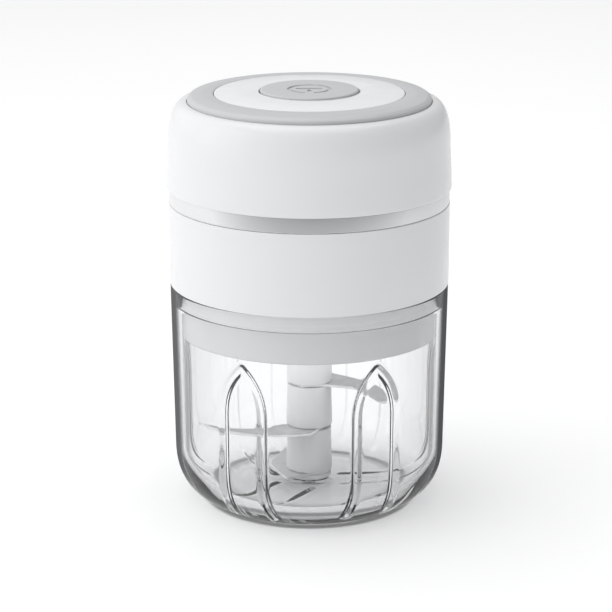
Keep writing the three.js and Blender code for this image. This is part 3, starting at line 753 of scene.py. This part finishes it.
def blade(level, material):
    """A stamped blade: flat below, with a long ground bevel above one edge."""
    low, high = heights("blade_" + level)
    outer, bore = blade_outlines(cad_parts["blade_" + level])
    outer = smoothed(outer)

    def is_ground(i):
        """Whether the outline, which runs counter-clockwise, moves clockwise about the axis here."""
        x, y = outer[i]
        ahead = Vector(outer[(i + 3) % len(outer)]) - Vector(outer[i - 3])
        return ahead.dot(Vector((y, -x))) > 0

    def bevel(i):
        """Width of the slope round the top: ground wide past the hub, narrower towards the tip."""
        r = math.hypot(*outer[i])
        leads = ease((r - 8.5) / 4) if is_ground(i) else 0.0
        return 0.18 + 1.5 * leads * (0.35 + 0.65 * ease((28 - r) / 8))

    def lip(i):
        """How far below the top face the slope ends."""
        return 0.55 if bevel(i) > 0.5 else 0.2

    top = ring_through(outer, bevel)
    bottom = ring_through(outer, lambda i: 0.12)
    bore_in = [(x * 1.02, y * 1.02) for x, y in bore]
    break_in = 0.1  # depth of the broken edges of the bore and of the underside
    n, m = len(outer), len(bore)
    vertices = [(x, y, high) for x, y in top]
    vertices += [(x, y, high - lip(i)) for i, (x, y) in enumerate(outer)]
    vertices += [(x, y, low + break_in) for x, y in outer]
    vertices += [(x, y, low) for x, y in bottom]
    vertices += [(x, y, high) for x, y in bore_in]
    vertices += [(x, y, high - break_in) for x, y in bore]
    vertices += [(x, y, low + break_in) for x, y in bore]
    vertices += [(x, y, low) for x, y in bore_in]
    faces = ring_faces(0, n, 4) + ring_faces(4 * n, m, 4)
    faces += holed_face(top, bore_in, 0, 4 * n)
    faces += [face[::-1] for face in holed_face(bottom, bore_in, 3 * n, 4 * n + 3 * m)]
    obj = mesh_object("blade_" + level + "_ground", vertices, faces, 20)
    consistent(obj)
    shade(obj, 20)
    return dress(obj, material, "blades", "blade", "blade_" + level)


def hub_collar(level, material):
    """A spacer between two blades, with a thicker rim at its foot."""
    low, high = heights("hub_spacer_" + level)
    profile = rounded([
        (COLLAR_BORE, low, 0.1), (COLLAR, low, 0.2), (COLLAR, low + 1.1, 0.5), (6.4, high, 0.2),
        (COLLAR_BORE, high, 0.1)])
    name = "hub_collar_" + level
    return dress(lathe(name, profile, SMALL * 2), material, "blades", "hub", "hub_spacer_" + level)


def hub_ring(material):
    """The plain ring that closes the stack below the lowest blade."""
    low, high = heights("hub_end_ring")
    profile = rounded([
        (COLLAR_BORE, low, 0.1), (6.4, low, 0.4), (6.4, high, 0.15), (COLLAR_BORE, high, 0.1)])
    return dress(lathe("hub_foot", profile, SMALL * 2), material, "blades", "hub", "hub_end_ring")


def hub_shaft(material):
    """The tube that carries the blades, its top collar and the hexagonal post that the motor drives."""
    low, high = heights("drive_shaft")
    seat = heights("blade_upper")[1] + SEAT_GAP
    body = lathe("hub_shaft", rounded([
        (0, 30.8), (2.1, 30.8), (2.1, low, 0.1), (4.4, low, 0.1), (4.4, seat), (COLLAR, seat, 0.2),
        (6.65, seat + 1.1, 0.6), (6.4, 52.2, 0.6), (0, 52.2)]), SMALL * 2)
    post = prism("post", hexagon(4.3), 51, high)
    soften(post, 0.35, 3, 50)
    carve(body, post, operation="UNION")
    return dress(body, material, "blades", "hub", "drive_shaft")


# ---------------------------------------------------------------- head


SCREW_SPOTS = [polar(SCREW_CIRCLE, math.radians(angle)) for angle in (45, 135, 225, 315)]


def port_prism(name, outline, near, far):
    """A prism along Y through the charging port, from near to far behind the head's axis."""
    level = turned_to(prism(name, outline, near, far), Matrix.Rotation(-QUARTER, 4, "X"))
    return shifted(level, 0, 0, PORT_HEIGHT)


def cover(material):
    """The dished bottom cover, with a boss and a sunk hole for each of its screws."""
    body = lathe("cover_moulding", rounded([
        (8.6, 52.8, 0.3), (34.2, 52.8, 0.4), (34.6, 50.6, 0.4), (36.4, 50.6, 0.6), (36.4, 65.15),
        (37.7, 65.15), (37.7, 66.9), (35.2, 66.9), (34.6, 54.7, 0.8), (12.2, 54.7, 0.5), (12.2, 58, 0.3),
        (10.4, 58, 0.3), (10.4, 54.7, 0.2), (8.6, 54.7, 0.3)]))
    boss = rounded([(0, 54.2), (4.3, 54.2), (4.3, 63.5, 0.3), (0, 63.5)])
    sink = [(0, 51), (3.3, 51), (3.1, 53.2), (3.1, 56.3), (1.7, 56.3), (1.7, 65), (0, 65)]
    for name, profile, operation in (("boss", boss, "UNION"), ("sink", sink, "DIFFERENCE")):
        tools = [shifted(lathe(name, profile, 48), *spot) for spot in SCREW_SPOTS]
        carve(body, *tools, operation=operation)
    return dress(body, material, "head", "shell", "bottom_cover")


def cover_screw(number, spot, material):
    """A pan-head screw seen from below, with its cross recess."""
    body = lathe("cover_screw_%d_steel" % number, rounded([
        (0, 54.4), (2.0, 54.4, 0.6), (2.7, 55.3, 0.5), (2.7, 56.2, 0.15), (1.35, 56.2), (1.35, 72.4),
        (0, 74)]), 48)
    bars = []
    skew = 0.4  # radians by which the cross is turned
    for turn in (0, QUARTER):
        bar = prism("bar", round_rect(1.45, 0.32, 0.15, 2), 53.8, 55.6)
        bars.append(turned_to(bar, Matrix.Rotation(turn + skew, 4, "Z")))
    carve(body, *bars)
    shifted(body, *spot)
    return dress(body, material, "head", "steel", "cover_screw_%d" % number)


def seal(material):
    """The lid seal round the cover's skirt, with a shallow groove between two lips."""
    profile = rounded([
        (36.7, 60.15, 0.1), (38.15, 60.15, 0.1), (38.2, 61.2, 0.2), (38.05, 61.8, 0.3), (38.2, 62.4, 0.2),
        (38.2, 64.9, 0.2), (36.7, 64.9, 0.2)])
    return dress(lathe("lid_seal", profile), material, "head", "silicone", "seal_ring")


def shaft_lip(material):
    """The small seal round the drive coupling."""
    profile = rounded([
        (7.6, 54.8, 0.3), (10.1, 54.8, 0.3), (10.1, 57.6, 0.3), (8.6, 57.6, 0.3), (7.6, 56.2, 0.3)])
    return dress(lathe("shaft_lip", profile, SMALL * 2), material, "head", "silicone", "shaft_seal")


def lower_shell(material):
    """The lower housing, with the charging port's recess at the back and the interlock's slot."""
    body = lathe("lower_moulding", rounded([
        (38.1, 65.02, 0.1), (40.1, 65.02, 0.15), (40.1, 88.5, 0.3), (38.1, 88.5, 0.2)]))
    recess = port_prism("recess", round_rect(7.3, 3.8, 0.7), 38.2, 42)
    pad = port_prism("pad", round_rect(9.2, 5.2, 1), 35.8, 38.6)
    hole = port_prism("hole", round_rect(4.9, 1.8, 1.6), 35, 39)
    slot = prism("slot", [(-2.3, -39.5), (2.3, -39.5), (2.3, -37), (-2.3, -37)], 64, 71.2)
    carve(body, pad, operation="UNION")
    carve(body, recess, hole, slot)
    return dress(body, material, "head", "shell", "lower_housing")


def band(material):
    """The silver band that joins the two housings."""
    profile = rounded([
        (36.6, 85.7), (37.8, 85.7), (37.8, 88.6), (39.95, 88.6, 0.25), (39.95, 92.85, 0.25),
        (38.1, 92.85), (38.1, 96), (36.9, 96)])
    return dress(lathe("band_moulding", profile), material, "head", "band", "seam_band")


def upper_shell(material):
    """The upper housing, with its rounded shoulder."""
    outside = list(reversed(bend(34.8, 117.3, 40, 105, 2.5, 24)))
    inside = bend(33.8, 114.7, 38, 105, 2.5, 10)
    profile = rounded([(38.4, 92.95), (40.6, 92.95, 0.35), (40.5, 96), (40.25, 100.5)]) + outside
    profile += [(34.8, 116.4), (14.35, 116.4), (14.35, 114.7)] + inside
    return dress(lathe("upper_moulding", profile), material, "head", "shell", "upper_housing")


def ring_trim(material):
    """The grey ring round the top."""
    profile = rounded([
        (27.15, 116.5), (34.55, 116.5), (34.55, 118.2, 0.8), (33.5, 119, 1.2), (30.4, 119.4, 1.5),
        (27.15, 119.5, 0.2)])
    return dress(lathe("ring_moulding", profile), material, "head", "trim", "trim_ring")


def plate_top(material):
    """The white plate between the grey ring and the button."""
    profile = rounded([
        (14.35, 116.5), (26.95, 116.5), (26.95, 119.5, 0.25), (20, 119.85, 3), (14.35, 120, 0.3)])
    return dress(lathe("plate_moulding", profile), material, "head", "shell", "top_plate")


def button(material):
    """A shallow grey cap with a sunk, generic symbol: an open ring, a bar and a stem."""
    body = lathe("button_moulding", rounded([
        (0, 112.4), (2.6, 112.4, 0.2), (2.6, 118.6), (12.3, 118.6), (12.3, 112.6), (16.2, 112.6),
        (16.2, 114.3), (13.9, 114.3), (13.9, 120.5, 0.55), (9, 120.5), (0, 120.5)]))
    half_gap = 0.22  # half of the ring's opening, in radians
    ring = arc_band(5.2, 6.3, -QUARTER + half_gap, TURN - QUARTER - half_gap)
    bar = [(x, y + 0.4) for x, y in round_rect(3.9, 0.75, 0.7)]
    stem = [(x, y - 2.6) for x, y in round_rect(0.62, 1.5, 0.6)]
    sunk_to, clear_of_top = 120.1, 122
    carve(body, *(prism("mark", outline, sunk_to, clear_of_top) for outline in (ring, bar, stem)))
    return dress(body, material, "button", "trim", "button_cap")


def button_coil(material):
    """The return spring: round wire that rises faster near its two ends."""
    turns, radius, wire, sides = 5.0, 6.6, 0.4, 10
    low, high = COIL_FOOT, 117.8
    steps = int(turns * 32)
    vertices, faces = [], []
    for i in range(steps + 1):
        t = i / steps
        risen = 0.12 * ease(t * 4) + 0.76 * t + 0.12 * ease(t * 4 - 3)
        z = low + wire + (high - low - 2 * wire) * risen
        out = Vector((*polar(1, t * turns * TURN), 0))
        for k in range(sides):
            around = k / sides * TURN
            point = out * (radius + wire * math.cos(around)) + Vector((0, 0, z + wire * math.sin(around)))
            vertices.append(tuple(point))
    for i in range(steps):
        for k in range(sides):
            a, b = i * sides + k, i * sides + (k + 1) % sides
            faces.append((a, a + sides, b + sides, b))
    faces.append(tuple(range(sides)))
    faces.append(tuple(reversed(range(steps * sides, (steps + 1) * sides))))
    obj = mesh_object("button_coil", vertices, faces)
    consistent(obj)
    return dress(obj, material, "head", "steel", "button_spring")


def plug_flap(material):
    """The silicone flap over the charging port, curved like the housing, with a notch and a tongue."""
    flap = port_prism("plug_flap", round_rect(6.9, 3.5, 1.5), 38.5, 42)
    wall = lathe("wall", [(0, 60), (40.05, 60), (40.05, 95), (0, 95)], 360)
    carve(flap, wall, operation="INTERSECT")
    notch = port_prism("notch", round_rect(0.5, 2.2, 0.45, 3), 39.6, 42)
    carve(flap, shifted(notch, 5.2, 0))
    soften(flap, 0.2, 3, 50)
    tongue = port_prism("tongue", round_rect(4, 1.1, 0.9), 36.7, 38.8)
    carve(flap, tongue, operation="UNION")
    return dress(flap, material, "port_plug", "silicone", "port_plug")


def coupling(material):
    """The motor's drive coupling: a hexagonal socket with a flared mouth."""
    body = lathe("coupling_moulding", rounded([
        (0, 53.2), (7.2, 53.2, 0.4), (7.2, 62, 0.3), (3.6, 62), (3.6, 63.6), (0, 63.6)]), SMALL * 2)
    socket = prism("socket", hexagon(4.65), 52, 58.4)
    lead = lathe("lead", [(0, 52.9), (5.2, 52.9), (4.2, 54.1), (0, 54.1)], SMALL)
    bore = lathe("bore", [(0, 57), (1.25, 57), (1.25, 65), (0, 65)], 32)
    carve(body, socket, lead, bore)
    return dress(body, material, "rotor", "hub", "drive_coupling")


# ---------------------------------------------------------------- stage


def unseen(obj):
    """Hides a helper from the eye and from clear or shiny surfaces; it still acts on dull ones."""
    for sight in ("camera", "glossy", "transmission"):
        setattr(obj, "visible_" + sight, False)


def floor(material):
    reach, top = 3000, -0.05
    obj = lathe("floor", [(0, -2), (reach, -2), (reach, top), (0, top)], 96)
    obj.data.materials.append(material)


def contact_shade():
    """An unseen ring just over the floor, which keeps light off it below the jar's rounded corner."""
    obj = lathe("contact_shade", [(25.5, 0.5), (31, 0.5), (31, 0.6), (25.5, 0.6)], 96)
    obj.data.materials.append(dark_plastic())
    unseen(obj)


def camera():
    data = bpy.data.cameras.new("camera")
    data.lens, data.sensor_width = 135.1, 36  # millimetres
    data.clip_end = 100
    obj = bpy.data.objects.new("camera", data)
    obj.location = (-0.00095, -0.638, 0.2447)
    obj.rotation_euler = (math.radians(73.58), 0, 0)
    bpy.context.scene.collection.objects.link(obj)
    bpy.context.scene.camera = obj


def softbox(name, size, place, aim, watts):
    """A rectangular light that faces its aim."""
    data = bpy.data.lights.new(name, "AREA")
    data.shape = "RECTANGLE"
    data.size, data.size_y = size
    data.energy = watts
    obj = bpy.data.objects.new(name, data)
    obj.location = place
    obj.rotation_euler = (Vector(aim) - Vector(place)).to_track_quat("-Z", "Y").to_euler()
    bpy.context.scene.collection.objects.link(obj)


def surroundings():
    """A pale studio: brighter on the left, dimmer on the right, blended across X."""
    world = bpy.data.worlds.new("studio")
    bpy.context.scene.world = world
    world.use_nodes = True
    tree = world.node_tree
    background = tree.nodes["Background"]
    place = tree.nodes.new("ShaderNodeTexCoord")
    split = tree.nodes.new("ShaderNodeSeparateXYZ")
    ramp = tree.nodes.new("ShaderNodeValToRGB")
    spread = tree.nodes.new("ShaderNodeMapRange")
    spread.inputs["From Min"].default_value = -1
    tree.links.new(place.outputs["Generated"], split.inputs[0])
    tree.links.new(split.outputs["X"], spread.inputs["Value"])
    tree.links.new(spread.outputs["Result"], ramp.inputs["Fac"])
    tree.links.new(ramp.outputs["Color"], background.inputs["Color"])
    left, right = ramp.color_ramp.elements
    left.color = (1.0, 1.0, 1.0, 1)
    right.color = (0.19, 0.19, 0.195, 1)
    middle = ramp.color_ramp.elements.new(0.5)
    middle.color = (0.5, 0.5, 0.505, 1)
    background.inputs["Strength"].default_value = 1.1


def jar_fill():
    """A faint disc of light under the cover: what the clear walls gather and spread inside the jar."""
    data = bpy.data.lights.new("jar_fill", "AREA")
    data.shape = "DISK"
    data.size = 0.062
    data.energy = 0.012
    obj = bpy.data.objects.new("jar_fill", data)
    obj.location = (0, 0, 0.0495)
    unseen(obj)
    bpy.context.scene.collection.objects.link(obj)


def lights():
    softbox("left_box", size=(0.9, 1.1), place=(-1.1, -0.25, 0.45), aim=(0, 0, 0.07), watts=2)
    softbox("top_box", size=(1.6, 1.6), place=(0, 0.1, 1.5), aim=(0, 0, 0), watts=10)


# ---------------------------------------------------------------- scene


def cad_pieces(plated, dark, red, board, hub, white):
    """Gives its material to each CAD solid that is shown as it is."""
    carried = {
        plated: ("motor_can", "rotor_core", "motor_shaft", "board_screw_1", "board_screw_2",
                 "charge_screw_1", "charge_screw_2", "motor_screw_1", "motor_screw_2", "usb_socket"),
        dark: ("switch_body", "switch_plunger", "control_chip", "interlock_switch", "motor_end_bell",
               "battery_wire_negative", "motor_wire_2"),
        red: ("battery_wire_positive", "motor_wire_1"),
        board: ("control_board", "charge_board"),
        hub: ("motor_holder",),
        white: ("interlock_pin",),
        magnet_ferrite(): ("motor_magnet_1", "motor_magnet_2"),
        copper(): ("rotor_windings", "commutator", "motor_brush_1", "motor_brush_2"),
        sintered_bronze(): ("motor_bearing_front", "motor_bearing_rear"),
        cell_wrap(): ("cell_1", "cell_2"),
    }
    for material, names in carried.items():
        for name in names:
            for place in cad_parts[name].material_slots:
                place.material = material


def jar_and_blades(hub):
    jar_glass(clear_plastic())
    spindle_pin(turned_steel())
    steel = blade_steel()
    for level in ("upper", "middle", "lower"):
        blade(level, steel)
    hub_shaft(hub)
    for level in ("upper", "lower"):
        hub_collar(level, hub)
    hub_ring(hub)


def head(white, hub, plated):
    # painted light: the cover's whiter colour and glow brighten its shaded skirt
    cover(painted_light_cover())
    for number, spot in enumerate(SCREW_SPOTS, 1):
        cover_screw(number, spot, plated)
    rubber = silicone("silicone", 0.0)
    # painted light: the lid seal glows at 0.14 so that the shaded seal reads as bright as the housing
    seal(silicone("lid_silicone_painted_light", 0.14))
    shaft_lip(rubber)
    lower_shell(white)
    band(silver_band())
    upper_shell(white)
    ring_trim(grey_trim())
    plate_top(white_plate())
    button(button_grey())
    coil = button_coil(plated)
    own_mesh(coil)
    plug_flap(rubber)
    coupling(hub)


def studio():
    floor(floor_paint())
    contact_shade()
    camera()
    surroundings()
    lights()
    jar_fill()
    bpy.context.scene.view_settings.view_transform = "Standard"


def main():
    white, hub, plated = white_shell(), hub_plastic(), plated_steel()
    jar_and_blades(hub)
    head(white, hub, plated)
    red = wire_sleeve("red_sleeve", (0.5, 0.03, 0.025))
    cad_pieces(plated, dark_plastic(), red, circuit_board(), hub, white)
    studio()


main()
